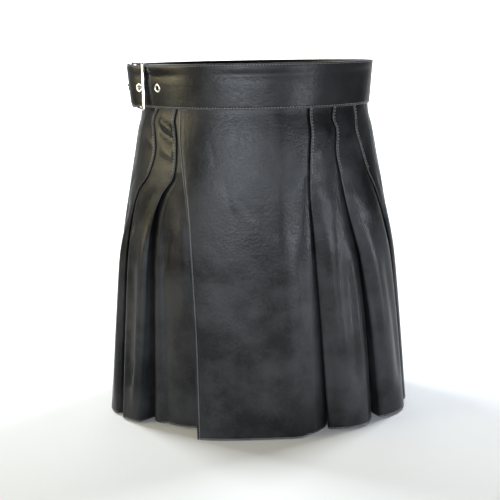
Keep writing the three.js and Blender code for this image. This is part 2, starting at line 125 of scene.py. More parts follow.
def leather_finish(name, dark, light, worn_and_highlit_tone, shine, grain_size):
    """Black leather: dark and light are the hide's two tones; the third is the paler tone of its edges,
    partly wear and partly a painted highlight.
    """
    material, skin, hide, points = new_finish(name)
    skin.inputs["Specular IOR Level"].default_value = 0.2
    wear_and_highlight = hide.node("ShaderNodeAttribute", {"attribute_name": "wear_and_highlight"}, {}, "Fac")
    sheltered = hide.node("ShaderNodeAttribute", {"attribute_name": "sheltered"}, {}, "Fac")
    cloud = hide.noise(points, 11.0, 2.5)
    patch = hide.noise(points, 38.0, 2.5)
    scuff = hide.noise(points, 260.0, 3.0)
    billow = hide.noise(points, 13.0, 1.5)
    ripple = hide.noise(points, 46.0)
    grain = hide.node("ShaderNodeTexVoronoi", {"feature": "SMOOTH_F1"}, {
        "Vector": points, "Scale": 1.0 / grain_size, "Smoothness": 0.6,
    })
    tone = (3.2 * cloud + 1.6 * patch + 0.8 * scuff - 2.3).clipped()
    # Paler edges: partly worn leather and partly a painted highlight along folds, hems and band edges.
    wear_and_highlight_share = (wear_and_highlight * (0.3 + 1.1 * scuff)).clipped()
    colour = hide.blend(wear_and_highlight_share, hide.blend(tone, dark, light), worn_and_highlit_tone)
    roughness = (shine + 0.2 * cloud + 0.12 * patch + 0.16 * scuff + 0.6 * sheltered).clipped()
    height = grain_relief * grain + ripple_relief * ripple + scuff_relief * scuff + billow_relief * billow
    bump = hide.node("ShaderNodeBump", {}, {"Height": height, "Distance": 1.0, "Strength": 1.0})
    connect(skin, {"Base Color": colour, "Roughness": roughness, "Normal": bump})
    return material


# The third colour is the pale edge tone: partly wear, partly a painted highlight.
skirt_leather = leather_finish(
    "skirt_leather", (0.004, 0.004, 0.0045, 1.0), (0.019, 0.0195, 0.0215, 1.0), (0.16, 0.16, 0.155, 1.0),
    shine=0.12, grain_size=0.0011,
)

# Knife pleats
# Nine panels on each side. Each is pressed into a fold at its front edge and runs under the next
# one, with a fold between them. They are stitched flat down to the hip and swing open below.
leather = 1.3
layer = 1.7
band_height = 61.0
seam_lap = 0.6
hem_height = -499.0
stitch_end = -118.0
underlap = 22.0
stitched_lap = 4.5
opening_curve = 0.62
softening_rounds = 14
softening = 0.45
softening_height = 90
shelter_reach = 9
roll_share = 0.3
hidden_roll = 13
skirt_top = -band_height / 2 + seam_lap
row_step = 4.6
crease_radius = 0.8
soft_fold_radius = 9.0
bend_radius = 16.0
straight_steps = 3

# Level sections of the kilt, as half an oval in front and half one behind: z, side, front, back
section_rows = [
    (60, 174, 134, 136), (31, 171.3, 131.5, 134), (-31, 166.3, 129, 131), (-47, 168, 130, 135),
    (-63, 172.5, 131, 139), (-103, 180, 133, 148), (-145, 188.5, 135, 158), (-208, 201.4, 137, 169),
    (-248, 208.5, 138, 176), (-306, 215.3, 139, 184), (-373, 222.2, 141, 191), (-437, 228.4, 142, 198),
    (-510, 235.5, 143, 204),
]
section_z, section_side, section_front, section_back = zip(*section_rows)

# Front edge of each pleat in degrees from the front centre, at these heights
edge_levels = [-31, -47, -61, -90, -125, -150, -190, -250, -350, -500]
left_folds = [
    {"edge": [25, 25, 25, 25, 25, 24.5, 24, 23, 22, 21], "depth": 22, "crest": 19,
     "valley": 33, "shift": 8, "mouth": 3, "roll": 9, "hem": -496},
    {"edge": [41.4, 42.6, 40.6, 39, 39.6, 45.6, 50, 51, 51.5, 53], "depth": 7, "crest": 4,
     "valley": 44, "shift": -8, "mouth": 18, "roll": 15, "shoulder": 21, "hem": -498},
    {"edge": [55.4, 59.4, 56.6, 53.8, 57.6, 66, 70, 71, 71, 71.5], "depth": 3, "crest": 0,
     "valley": 34, "shift": -3, "mouth": 4, "roll": 12, "hem": -499},
]
right_folds = [
    {"edge": [26.8, 26.6, 26.6, 25.2, 23.9, 23.4, 23.3, 23.5, 24.6, 26], "depth": 11, "crest": 1,
     "valley": 34, "shift": 10, "mouth": 5, "roll": 20, "hem": -498},
    {"edge": [41, 39.8, 41, 39.2, 40.1, 41, 42.8, 46.4, 50.5, 53], "depth": 10, "crest": 1,
     "valley": 44, "shift": 12, "mouth": 5, "roll": 22, "hem": -498},
    {"edge": [57, 57.6, 55.4, 57.6, 61.4, 67, 73.5, 79.5, 84, 87], "depth": 6, "crest": 0,
     "valley": 36, "shift": 12, "mouth": 5, "roll": 18, "hem": -499},
]

# The other pleats: number, angle at the waist, at the end of the stitching and at the hem,
# depth of the fold, width of its mouth
hidden_rows = [
    (4, 73, 75, 101, 33, 5), (5, 89, 91, 114.5, 39, 8), (6, 105, 106.5, 127, 35, 5),
    (7, 120.5, 121.5, 139, 41, 9), (8, 135.5, 136.5, 150, 34, 5), (9, 150.5, 151, 160.5, 37, 7),
]
swing = [0, 0, 0, 0, 0, 0.28, 0.45, 0.62, 0.82, 1]
left_twist = -3.5


def smooth_table(positions, values, at):
    """Reads a table of rising or falling positions with a smooth curve through its values."""
    x = np.asarray(positions, float)
    y = np.asarray(values, float)
    at = np.asarray(at, float)
    if x[-1] < x[0]:
        x = -x
        at = -at
    slope = np.gradient(y, x, edge_order=1)
    slope[1:-1] = (y[2:] - y[:-2]) / (x[2:] - x[:-2])
    i = np.clip(np.searchsorted(x, at, side="right"), 1, len(x) - 1)
    width = x[i] - x[i - 1]
    t = np.clip((at - x[i - 1]) / width, 0, 1)
    rise = 3 * t**2 - 2 * t**3
    start = slope[i - 1] * width * (t**3 - 2 * t**2 + t)
    end = slope[i] * width * (t**3 - t**2)
    return y[i - 1] * (1 - rise) + y[i] * rise + start + end


def mix(a, b, share):
    return a + (b - a) * share


def ramp(t):
    c = np.clip(t, 0, 1)
    return c * c * (3 - 2 * c)


def hump(distance, width):
    """A soft bump: 1 at no distance, and almost nothing at two widths."""
    return np.exp(-((distance / width) ** 2))


def unit(vectors):
    return vectors / np.linalg.norm(vectors, axis=-1, keepdims=True)


def half_axes(degrees, z):
    """The section's two half axes where it is seen at this angle."""
    turn = np.radians(degrees)
    front = smooth_table(section_z, section_front, z)
    behind = smooth_table(section_z, section_back, z)
    return smooth_table(section_z, section_side, z), np.where(np.cos(turn) > 0, front, behind), turn


def turned(degrees, z, along):
    """The angle reached by moving some millimetres along the section."""
    a, b, turn = half_axes(degrees, z)
    return degrees + np.degrees(along / np.hypot(a * np.cos(turn), b * np.sin(turn)))


def place(degrees, depth, z):
    """Points on the sections at heights z, moved into the kilt by depth, in millimetres."""
    degrees, depth, z = np.broadcast_arrays(degrees, depth, z)
    a, b, turn = half_axes(degrees, z)
    across = b * np.sin(turn)
    ahead = -a * np.cos(turn)
    size = np.hypot(across, ahead)
    x = a * np.sin(turn) - across / size * depth
    y = -b * np.cos(turn) - ahead / size * depth
    return np.stack([x, y, z], axis=-1)


def opened_share(z):
    """How far the pleats have swung open at heights z: 0 at the stitching's end, 1 at the hem."""
    return np.clip((stitch_end - z) / (stitch_end - hem_height), 0, 1) ** opening_curve


def fold_at(fold, z):
    """A pleat's front edge and the bottom of its fold, as (along, depth) from the edge's angle."""
    opened = opened_share(z)
    edge = np.stack([0 * z, fold["depth"] * opened], -1)
    valley = np.stack([mix(underlap, fold["shift"], opened), mix(layer, fold["valley"], opened)], -1)
    rolled = mix(edge[:, 1], valley[:, 1], roll_share)
    hairpin = np.stack([valley[:, 0] * roll_share * opened, mix(edge[:, 1] + layer, rolled, opened)], -1)
    return {
        "degrees": smooth_table(edge_levels, fold["edge"], z), "open": opened, "edge": edge,
        "hairpin": hairpin, "valley": valley, "middle": (hairpin + valley) / 2,
        "run": unit(valley - hairpin), "mouth": fold["mouth"] * opened,
    }


def dip_before(fold, z):
    """The end of the panel in front of a fold: over its shoulder and down to the fold's bottom."""
    f = fold_at(fold, z)
    away = np.stack([-f["run"][:, 1], f["run"][:, 0]], -1)
    clear = layer + 0.5 * f["open"]

    def beside(start, gap, back):
        return start + away * np.expand_dims(gap, -1) - f["run"] * np.expand_dims(back, -1)

    knee = beside(f["hairpin"], clear + f["mouth"], mix(2, 1, f["open"]))
    fallen = fold.get("shoulder", fold["depth"] * 0.4 + 1)
    shoulder = np.stack([mix(-stitched_lap, knee[:, 0] - fold["roll"], f["open"]), fallen * f["open"]], -1)
    half = beside(f["middle"], clear + f["mouth"] * 0.4, 0 * z)
    return {"degrees": f["degrees"], "points": [shoulder, knee, half, beside(f["valley"], clear, 0 * z)]}


def around(degrees, point, z):
    """(along, depth) from an angle, as (degrees, depth)."""
    return np.stack([turned(degrees, z, point[:, 0]), point[:, 1]], -1)


def pleat_corners(own, following, z):
    """Corners of a pleat's level lines as (degrees, depth), with the number of the edge's corner."""
    f = fold_at(own, z)
    dip = dip_before(following, z)
    crest = own["crest"] * f["open"]
    ends = [around(dip["degrees"], point, z) for point in dip["points"]]
    folded = [around(f["degrees"], f[part], z) for part in ("valley", "middle", "hairpin", "edge")]
    edge_depth = f["edge"][:, 1]
    near = np.stack([mix(f["degrees"], dip["degrees"], 0.2), mix(edge_depth, crest, 0.68)], -1)
    crown = np.stack([mix(f["degrees"], dip["degrees"], 0.5), crest], -1)
    face = [mix(folded[3], near, 0.5), near, mix(near, crown, 0.35), mix(near, crown, 0.7), crown]
    face += [mix(crown, ends[0], share) for share in (0.33, 0.66)]
    return folded + face + ends, 3


def hidden_fold(side, row):
    number, waist, stitched, hem, valley, mouth = row
    twist = left_twist * (1 - (number - 4) / 6) if side < 0 else 0
    edge = [
        mix(waist, stitched, min(1, i / 4)) + (hem + twist - stitched) * share
        for i, share in enumerate(swing)
    ]
    return {"edge": edge, "depth": 6, "crest": 0, "valley": valley - side, "shift": 10 + side * 2,
            "mouth": mouth, "roll": hidden_roll, "hem": hem_height + number % 3 - 1}


back_fold = {"edge": [166 + 4.8 * share for share in swing], "depth": 4, "crest": 0, "valley": 36,
             "shift": 10, "mouth": 5, "roll": 11}


def rounded_line(corners, radii, turns):
    """Level lines through corners (rows, corners, 3), rounded off by radii, with even columns."""
    columns = [corners[:, 0]]
    sources = [0.0]
    last = corners[:, 0]
    for i in range(1, corners.shape[1]):
        corner = corners[:, i]
        arrive = corner - corners[:, i - 1]
        reach = np.linalg.norm(arrive, axis=-1, keepdims=True)
        if i < corners.shape[1] - 1:
            leave = corners[:, i + 1] - corner
            room = np.minimum(reach, np.linalg.norm(leave, axis=-1, keepdims=True)) * 0.48
            cut = np.minimum(radii[:, i, None], room)
            start = corner - arrive / reach * cut
            end = corner + unit(leave) * cut
        else:
            start = corner
            end = corner
        for k in range(1, straight_steps + 1):
            columns.append(mix(last, start, k / straight_steps))
            sources.append(i - 0.5 + 0.5 * k / straight_steps)
        if i < corners.shape[1] - 1:
            for k in range(1, turns[i] + 1):
                t = k / turns[i]
                columns.append(mix(mix(start, corner, t), mix(corner, end, t), t))
                sources.append(i + 0.5 * t - 0.25)
        last = end
    return np.stack(columns, axis=1), np.array(sources)


def across_line(grid):
    """Unit vectors square to the level lines, in their own plane."""
    ahead = np.gradient(grid, axis=1)
    return unit(np.stack([ahead[..., 1], -ahead[..., 0], 0 * ahead[..., 0]], -1))


def line_length(grid):
    """Distance along each level line from its first point."""
    steps = np.linalg.norm(np.diff(grid, axis=1), axis=-1)
    return np.concatenate([np.zeros((grid.shape[0], 1)), np.cumsum(steps, axis=1)], axis=1)


hem_rows = np.array([4.6, 3.4, 2.3, 1.2, 0.5, 0.0])


def levels_to(hem, top=skirt_top):
    """Heights of the rows of a panel, closer together along its hem."""
    count = int(round((top - hem) / row_step)) - 1
    return np.concatenate([np.linspace(top, hem + 6, count), hem + hem_rows])


class Panel:
    """A panel of the skirt as a grid of points on its middle, in millimetres."""

    def __init__(self, name, corners, edge_corner, z, outward):
        polar = np.stack(corners, axis=1)
        points = place(polar[..., 0], polar[..., 1], z[:, None])
        count = points.shape[1]
        radii = np.full((len(z), count), bend_radius)
        turns = [3] * count
        if edge_corner is not None:
            rolled = mix(crease_radius, soft_fold_radius, opened_share(z))
            radii[:, edge_corner - 1:edge_corner + 1] = rolled[:, None]
            turns[edge_corner] = 6
        grid, sources = rounded_line(points, radii, turns)
        swung = np.clip((stitch_end - z) / softening_height, 0, 1)[:, None, None]
        for _ in range(softening_rounds):
            bend = grid[:, :-2] + grid[:, 2:] - 2 * grid[:, 1:-1]
            bend[..., 2] = 0
            grid[:, 1:-1] += softening * swung * bend
        self.name = name
        self.z = z
        self.grid = grid
        self.outward = outward
        edge_column = 0 if edge_corner is None else int(np.argmin(np.abs(sources - edge_corner)))
        length = line_length(grid)
        self.from_edge = length - length[:, edge_column:edge_column + 1]
        self.face_end = self.from_edge[:, int(np.argmin(np.abs(sources - (count - 4))))]
        self.width = length[:, -1]

    def shelter(self, flush):
        """How deep each point lies inside a fold: 0 at the flush depth, 1 a few millimetres further."""
        level = self.z[:, None]
        x, y = self.grid[..., 0], self.grid[..., 1]
        behind = np.where(y < 0, smooth_table(section_z, section_front, level),
                          smooth_table(section_z, section_back, level))
        share = np.hypot(x / smooth_table(section_z, section_side, level), y / behind)
        depth = (1 - share) * np.hypot(x, y) / share
        return ramp((depth - flush[:, None]) / shelter_reach)

    def press(self, creases):
        """Presses soft troughs, or with a negative depth lifts ridges. A crease is the distance from
        the panel's edge and the height where it starts, the same where it ends, depth and width."""
        for start, start_z, end, end_z, depth, width in creases:
            run = np.array([end - start, end_z - start_z], float)
            size = np.hypot(*run)
            run = run / size
            aside = self.from_edge - start
            down = self.z[:, None] - start_z
            along = (aside * run[0] + down * run[1]) / size
            across = aside * run[1] - down * run[0]
            fade = ramp(along / 0.3 + 0.5) * ramp((1 - along) / 0.3 + 0.5)
            relief = depth * hump(across, width) * fade
            relief = relief * ramp(self.from_edge / 6) * ramp((self.face_end[:, None] - self.from_edge) / 8)
            self.grid = self.grid - across_line(self.grid) * relief[..., None] * self.outward

    def spot(self, from_edge, z, lift=0.0):
        """A point of the outer face, lifted off it, and the direction out of the face there."""
        row = np.clip(np.interp(-z, -self.z, np.arange(len(self.z))), 0, len(self.z) - 1)
        low = int(np.floor(row))
        high = min(low + 1, len(self.z) - 1)
        normals = across_line(self.grid) * self.outward
        found = []
        for source in (self.grid, normals):
            ends = [
                [np.interp(from_edge, self.from_edge[r], source[r, :, axis]) for axis in range(3)]
                for r in (low, high)
            ]
            found.append(mix(np.array(ends[0]), np.array(ends[1]), row - low))
        return found[0] + found[1] * (leather / 2 + lift), found[1]


def lay_out(name, data):
    """Puts a mesh, light or camera into the scene."""
    made = bpy.data.objects.new(name, data)
    bpy.context.collection.objects.link(made)
    return made


def finish_mesh(mesh, material, sharp_degrees):
    """Shades a mesh smooth, but for edges sharper than an angle, and gives it its material."""
    mesh.polygons.foreach_set("use_smooth", [True] * len(mesh.polygons))
    mesh.set_sharp_from_angle(angle=math.radians(sharp_degrees))
    mesh.materials.append(material)


def shell(name, outer, inner, wear_and_highlight, material, sheltered=None):
    """A closed wall between two grids of points, carrying on its points the pale edge mark (partly wear,
    partly a painted highlight) and the sheltered mark.
    """
    rows, columns = outer.shape[:2]
    index = np.arange(rows * columns).reshape(rows, columns)
    inside = index + rows * columns
    rim = np.concatenate([index[0, :], index[1:, -1], index[-1, -2::-1], index[-2:0:-1, 0]])
    rim_next = np.roll(rim, -1)
    quads = [
        np.stack([index[:-1, :-1], index[1:, :-1], index[1:, 1:], index[:-1, 1:]], -1).reshape(-1, 4),
        np.stack([inside[:-1, :-1], inside[:-1, 1:], inside[1:, 1:], inside[1:, :-1]], -1).reshape(-1, 4),
        np.stack([rim, rim_next, rim_next + rows * columns, rim + rows * columns], -1),
    ]
    faces = np.concatenate(quads)
    points = np.concatenate([outer.reshape(-1, 3), inner.reshape(-1, 3)]) * 0.001
    corner = points[faces]
    volume = np.einsum("ij,ij->i", corner[:, 0], np.cross(corner[:, 1], corner[:, 2])).sum()
    volume += np.einsum("ij,ij->i", corner[:, 0], np.cross(corner[:, 2], corner[:, 3])).sum()
    if volume < 0:
        faces = faces[:, ::-1]
    mesh = bpy.data.meshes.new(name)
    mesh.from_pydata(points.tolist(), [], faces.tolist())
    finish_mesh(mesh, material, 60)
    marks = {"wear_and_highlight": wear_and_highlight, "sheltered": 0 * wear_and_highlight if sheltered is None else sheltered}
    for label, amount in marks.items():
        mark = mesh.attributes.new(label, "FLOAT", "POINT")
        mark.data.foreach_set("value", np.concatenate([amount.ravel(), amount.ravel()]))
    return lay_out(name, mesh)


def fit(piece, node):
    """Lets a piece stand for its solid: hides the solid and hangs the piece from the root."""
    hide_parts(node)
    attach(piece, "root")


hem_inset = 2.3


def sew_panel(panel, node, hem, sheltered=None, seam_inset=2.2):
    sewn = hump(panel.z[:, None] - hem - hem_inset, 0.9)
    beside_edge = hump(panel.from_edge - seam_inset, 1.0)
    drawn_in = 0.4 * np.maximum(sewn, beside_edge * (seam_inset > hem_inset))
    across = across_line(panel.grid) * (leather / 2 - drawn_in)[..., None]
    pressed = ramp((panel.z[:, None] - stitch_end) / softening_height + 1)
    # Pale fold edge down to the stitching and pale hem: partly wear, partly a painted highlight on the
    # edge.
    wear_and_highlight = 0.6 * hump(panel.from_edge, 0.9) * pressed
    wear_and_highlight = np.maximum(wear_and_highlight, 0.5 * hump(panel.z[:, None] - hem, 1.2))
    piece = shell(panel.name, panel.grid + across, panel.grid - across, wear_and_highlight, skirt_leather, sheltered)
    length = (skirt_top - hem) * 0.001
    area = float(panel.width.mean()) * 0.001 * length
    fit(piece, node)


side_folds = {
    "left": left_folds + [hidden_fold(-1, row) for row in hidden_rows] + [back_fold],
    "right": right_folds + [hidden_fold(1, row) for row in hidden_rows] + [back_fold],
}

# Creases of each pleat: how far behind its front edge and at what height they start, the same for
# their end, then depth and width
pleat_creases = {
    ("left", 1): [
        (50, -205, 58, -255, 1.4, 5), (62, -215, 66, -262, 1.2, 4), (66, -170, 68, -560, 3.5, 16),
        (30, -190, 24, -330, -2.2, 10), (4, -58, 30, -44, -1.6, 5), (2, -72, 30, -62, 1.6, 6),
    ],
    ("left", 2): [
        (2, -60, 26, -46, -2.0, 5), (1, -74, 28, -62, 2.0, 6), (4, -96, 26, -84, -1.2, 6),
        (20, -150, 42, -215, 2.4, 8), (16, -400, 30, -450, 2.0, 5), (10, -210, 12, -470, -3.0, 8),
        (30, -260, 26, -440, 2.6, 8),
    ],
    ("left", 3): [
        (2, -64, 24, -48, 1.6, 5), (20, -170, 34, -260, 2.0, 8), (14, -220, 14, -470, -2.6, 8),
        (2, -80, 26, -70, -1.4, 6),
    ],
    ("left", 4): [(24, -150, 38, -240, 2.2, 8), (26, -260, 22, -450, -2.6, 11)],
    ("left", 5): [(18, -160, 34, -250, 2.4, 7), (22, -240, 22, -460, -2.4, 11)],
    ("left", 6): [(34, -180, 24, -290, 2.0, 8), (20, -300, 22, -470, -2.2, 10)],
    ("left", 7): [(20, -150, 36, -220, 1.8, 7), (24, -230, 20, -450, -2.6, 11)],
    ("left", 8): [(24, -240, 18, -360, 2.2, 8)],
    ("left", 9): [(18, -180, 26, -280, 1.8, 7), (24, -260, 22, -460, -2.2, 10)],
    ("right", 1): [
        (12, -96, 30, -60, -1.0, 8), (6, -140, 44, -176, -1.0, 13), (46, -250, 50, -440, 2.4, 12),
        (24, -190, 26, -460, -3.0, 16), (8, -360, 12, -480, 1.4, 8),
    ],
    ("right", 2): [
        (8, -150, 46, -190, -1.0, 13), (24, -210, 28, -460, -3.0, 14), (48, -260, 52, -440, 2.4, 10),
        (10, -300, 12, -400, 1.4, 7),
    ],
    ("right", 3): [(26, -140, 40, -230, 2.0, 9), (40, -260, 36, -450, -2.4, 12)],
    ("right", 4): [(22, -160, 36, -250, 2.2, 8), (26, -250, 24, -460, -2.6, 11)],
    ("right", 5): [(34, -170, 24, -280, 2.2, 8), (22, -290, 20, -460, -2.2, 10)],
    ("right", 6): [(18, -150, 34, -240, 1.9, 7), (24, -240, 22, -450, -2.5, 11)],
    ("right", 7): [(28, -230, 20, -350, 2.1, 9)],
    ("right", 8): [(20, -160, 30, -250, 2.0, 7), (24, -260, 22, -460, -2.3, 10)],
    ("right", 9): [(22, -260, 16, -380, 1.9, 8)],
}

pleat_panels = []
for side_name, folds in side_folds.items():
    side = -1 if side_name == "left" else 1
    for number in range(1, len(folds)):
        own = folds[number - 1]
        z = levels_to(own["hem"])
        corners, edge_corner = pleat_corners(own, folds[number], z)
        corners = [corner * [side, 1] for corner in corners]
        panel = Panel(f"{side_name}_pleat_{number}", corners, edge_corner, z, side)
        panel.press(pleat_creases.get((side_name, number), []))
        flush = 2.5 + max(own["depth"], own["crest"]) * opened_share(z)
        sew_panel(panel, f"pleat_{side_name}_{number}", own["hem"], panel.shelter(flush))
        pleat_panels.append(panel)

# Centre back panel
# One broad panel of the same leather over both runs of pleats, folded under at each side and
# stitched down like a pleat. It hangs from the back of the waistband.
z = levels_to(hem_height)
f = fold_at(back_fold, z)
near_side = [around(f["degrees"], f[part], z) for part in ("valley", "middle", "hairpin", "edge")]
near_side += [np.stack([mix(f["degrees"], 180, share), 0.5 * f["open"]], -1) for share in (0.4, 0.7)]
far_side = [np.stack([360 - corner[:, 0], corner[:, 1]], -1) for corner in near_side[::-1]]
centre = np.stack([0 * z + 180, 0 * z], -1)
back_panel = Panel("centre_back", near_side + [centre] + far_side, 3, z, 1)
back_panel.face_end = back_panel.width - back_panel.width * 0.2
back_panel.press([(20, -170, 34, -280, 1.2, 8), (46, -150, 40, -240, 1.0, 7)])
sew_panel(back_panel, "back_panel", hem_height, back_panel.shelter(0 * z + 6))

# Front apron
# The flat outer panel of the wrap. Its free edge lies over the first left pleat, turned and
# topstitched, and its other side runs under the first right pleat. It hangs from the waistband.
apron_hem = -500.0
apron_inset = 3.6
apron_edge = [38.4, 37.5, 36.8, 35, 32.6, 30.8, 28.6, 26.4, 24.1, 22.3]
# Share of the way across, depth inside the section at the waist and at the hem
apron_rows = [
    (0, -3, -9), (0.12, -3, -8.5), (0.25, -3, -6.5), (0.4, -2.4, -4), (0.55, -1.4, -2.5),
    (0.7, -0.5, -3), (0.85, 0, -5),
]
apron_share, apron_waist, apron_low = zip(*apron_rows)
z = levels_to(apron_hem)
dip = dip_before(right_folds[0], z)
edge_degrees = -smooth_table(edge_levels, apron_edge, z)
fall = (skirt_top - z) / (skirt_top - apron_hem)
corners = []
for share in (0, 0.01, 0.02, 0.04, 0.08, 0.12, 0.18, 0.25, 0.32, 0.4, 0.47, 0.55, 0.62, 0.7, 0.78, 0.85):
    upper, lower = (np.interp(share, apron_share, column) for column in (apron_waist, apron_low))
    depth = mix(upper, lower, fall)
    corners.append(np.stack([mix(edge_degrees, dip["degrees"] - 5, share), depth], -1))
corners += [around(dip["degrees"], point, z) for point in dip["points"]]
apron = Panel("apron", corners, None, z, 1)
apron.press([
    (58, -122, 66, -178, 0.3, 5), (46, -70, 49, -108, 0.25, 3), (78, -150, 96, -182, 0.35, 5),
    (100, -165, 124, -205, 0.4, 6), (7, -432, 2, -436, 0.8, 2.5), (7, -440, 2, -444, 0.8, 2.5),
    (120, -90, 150, -140, 0.4, 12), (30, -260, 70, -330, 0.6, 16), (90, -330, 140, -420, 0.7, 20),
    (40, -380, 90, -450, 0.6, 16), (150, -220, 170, -330, -0.8, 22),
])
sew_panel(apron, "front_apron", apron_hem, apron.shelter(0 * z + 7), seam_inset=apron_inset)

# Sewing thread
# Black waxed thread. Each pleat's fold is topstitched down to the hip, and every hem, the apron's
# free edge and both edges of the waistband have a row of lock stitches near the edge.


def stitch_tree():
    """Geometry Nodes that lay stitches along the edges of a mesh, square to its 'out' attribute."""
    tree = bpy.data.node_groups.new("stitches", "GeometryNodeTree")
    kinds = {"Geometry": "Geometry", "Pitch": "Float", "Stitch Length": "Float", "Thread": "Float",
             "Slant": "Float", "Unevenness": "Float", "Seed": "Int", "Finish": "Material"}
    for name, kind in kinds.items():
        tree.interface.new_socket(name, in_out="INPUT", socket_type="NodeSocket" + kind)
    tree.interface.new_socket("Geometry", in_out="OUTPUT", socket_type="NodeSocketGeometry")
    row = Flow(tree)

    def given(name):
        return row.node("NodeGroupInput", {}, {}, name)

    def vector(x, y, z):
        return row.node("ShaderNodeCombineXYZ", {}, {"X": x, "Y": y, "Z": z})

    seam = row.node("GeometryNodeMeshToCurve", {}, {"Mesh": given("Geometry")})
    holes = row.node("GeometryNodeResampleCurve", {"mode": "LENGTH"}, {
        "Curve": seam, "Length": given("Pitch"),
    })
    out = row.node("GeometryNodeInputNamedAttribute", {"data_type": "FLOAT_VECTOR"}, {"Name": "out"})
    along = row.node("GeometryNodeInputTangent", {}, {})
    laid = row.node("FunctionNodeAxesToRotation", {"primary_axis": "Z", "secondary_axis": "X"}, {
        "Primary Axis": out, "Secondary Axis": along,
    })
    chance = row.node("FunctionNodeRandomValue", {"data_type": "FLOAT"}, {
        2: -1.0, 3: 1.0, 8: given("Seed"),
    }, 1)
    yaw = given("Slant") + chance * given("Unevenness")
    slanted = row.node("FunctionNodeEulerToRotation", {}, {"Euler": vector(0.0, 0.0, yaw)})
    turn = row.node("FunctionNodeRotateRotation", {"rotation_space": "LOCAL"}, {
        "Rotation": laid, "Rotate By": slanted,
    })
    bead = row.node("GeometryNodeMeshUVSphere", {}, {"Segments": 6, "Rings": 5, "Radius": 0.5})
    smooth = row.node("GeometryNodeSetShadeSmooth", {}, {"Geometry": bead})
    stitch = row.node("GeometryNodeTransform", {}, {
        "Geometry": smooth, "Scale": vector(given("Stitch Length"), given("Thread"), given("Thread")),
    })
    laid_stitches = row.node("GeometryNodeInstanceOnPoints", {}, {
        "Points": holes, "Instance": stitch, "Rotation": turn,
        "Scale": 1.0 + 0.4 * chance * given("Unevenness"),
    })
    real = row.node("GeometryNodeRealizeInstances", {}, {"Geometry": laid_stitches})
    finished = row.node("GeometryNodeSetMaterial", {}, {"Geometry": real, "Material": given("Finish")})
    end = tree.nodes.new("NodeGroupOutput")
    tree.links.new(finished.socket, end.inputs["Geometry"])
    return tree


stitches = stitch_tree()
thread, fibre_shader, fibre, points = new_finish("waxed_thread")
twist = fibre.noise(points, 900.0)
fibre_colour = fibre.blend(twist, (0.06, 0.06, 0.062, 1.0), (0.3, 0.3, 0.31, 1.0))
connect(fibre_shader, {"Base Color": fibre_colour, "Roughness": 0.4 + 0.3 * twist})
thread_width = 0.0011
stitch_share = 0.66
stitch_pitch = 4.2
fold_inset = 2.2


def make_plain(piece):
    """Turns what a piece's modifiers make of it into its own mesh."""
    evaluated = piece.evaluated_get(bpy.context.evaluated_depsgraph_get())
    made = bpy.data.meshes.new_from_object(evaluated)
    piece.modifiers.clear()
    piece.data = made


def sew(name, rows, slant=0.12, seed=1, pitch=stitch_pitch):
    """Sews rows of stitches; each row is a list of (point in millimetres, direction out)."""
    points = []
    outs = []
    edges = []
    for row in rows:
        edges += [(len(points) + i, len(points) + i + 1) for i in range(len(row) - 1)]
        points += [tuple(point * 0.001) for point, out in row]
        outs += [out for point, out in row]
    mesh = bpy.data.meshes.new(name + "_path")
    mesh.from_pydata(points, edges, [])
    facing = mesh.attributes.new("out", "FLOAT_VECTOR", "POINT")
    facing.data.foreach_set("vector", np.array(outs).ravel())
    piece = lay_out(name, mesh)
    nodes = piece.modifiers.new("stitches", "NODES")
    nodes.node_group = stitches
    inputs = {"Pitch": pitch * 0.001, "Stitch Length": pitch * stitch_share * 0.001, "Thread": thread_width,
              "Slant": slant, "Unevenness": 0.12, "Seed": seed, "Finish": thread}
    for label, value in inputs.items():
        nodes[stitches.interface.items_tree[label].identifier] = value
    make_plain(piece)
    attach(piece, "root")


def fold_row(panel, from_edge, top, bottom):
    """Places for a row of stitches down a panel, parallel to its fold or free edge."""
    count = max(2, int((top - bottom) / 6))
    return [panel.spot(from_edge, z) for z in np.linspace(top, bottom, count)]


def hem_row(panel, start):
    """Places for a row of stitches along a panel's hem."""
    z = panel.z[-1] + hem_inset
    end = float(panel.face_end[-1])
    count = max(2, int((end - start) / 5))
    return [panel.spot(distance, z) for distance in np.linspace(start, end, count)]


sew("pleat_edge_stitches", [fold_row(p, fold_inset, skirt_top - 2, stitch_end) for p in pleat_panels],
    seed=3)
sew("pleat_hem_stitches", [hem_row(p, 4.0) for p in pleat_panels], seed=4)
sew("apron_stitches", [fold_row(apron, apron_inset, skirt_top - 2, apron_hem + hem_inset),
                       hem_row(apron, apron_inset + 4)], slant=0.35, seed=5, pitch=3.7)
back_stitches = [hem_row(back_panel, 4.0)]
for inset in (fold_inset, float(back_panel.face_end[0]) - fold_inset):
    back_stitches.append(fold_row(back_panel, inset, skirt_top - 2, stitch_end))
sew("back_panel_stitches", back_stitches, seed=6)

# Under apron
# A plain panel behind the front apron, from the fold of the first left pleat to a free edge. It
# hangs from the inner end of the waistband.
under_hem = -490.0
under_waist = {"free": 20, "depth": 2 * layer, "bend": 2 * layer}
under_low = {"free": 13, "depth": 22, "bend": 26}
z = levels_to(under_hem)
dip = dip_before(left_folds[0], z)
shoulder, knee, half, end = dip["points"]
fall = np.minimum(1, (skirt_top - z) / (skirt_top - hem_height))
free = mix(under_waist["free"], under_low["free"], ramp(fall))
depth = mix(under_waist["depth"], under_low["depth"], fall)
bend = mix(under_waist["bend"], under_low["bend"], fall)
knee = np.stack([knee[:, 0], np.maximum(knee[:, 1], 2 * layer)], -1)
corners = [
    np.stack([mix(free, 5 - dip["degrees"], share), depth], -1)
    for share in (0, 0.1, 0.2, 0.3, 0.4, 0.5, 0.6, 0.7, 0.8)
]
for point in (np.stack([knee[:, 0] - 6, bend], -1), knee, half, end):
    corners.append(around(dip["degrees"], point, z) * [-1, 1])
under = Panel("under_panel", corners, None, z, -1)
sew_panel(under, "under_apron", under_hem)

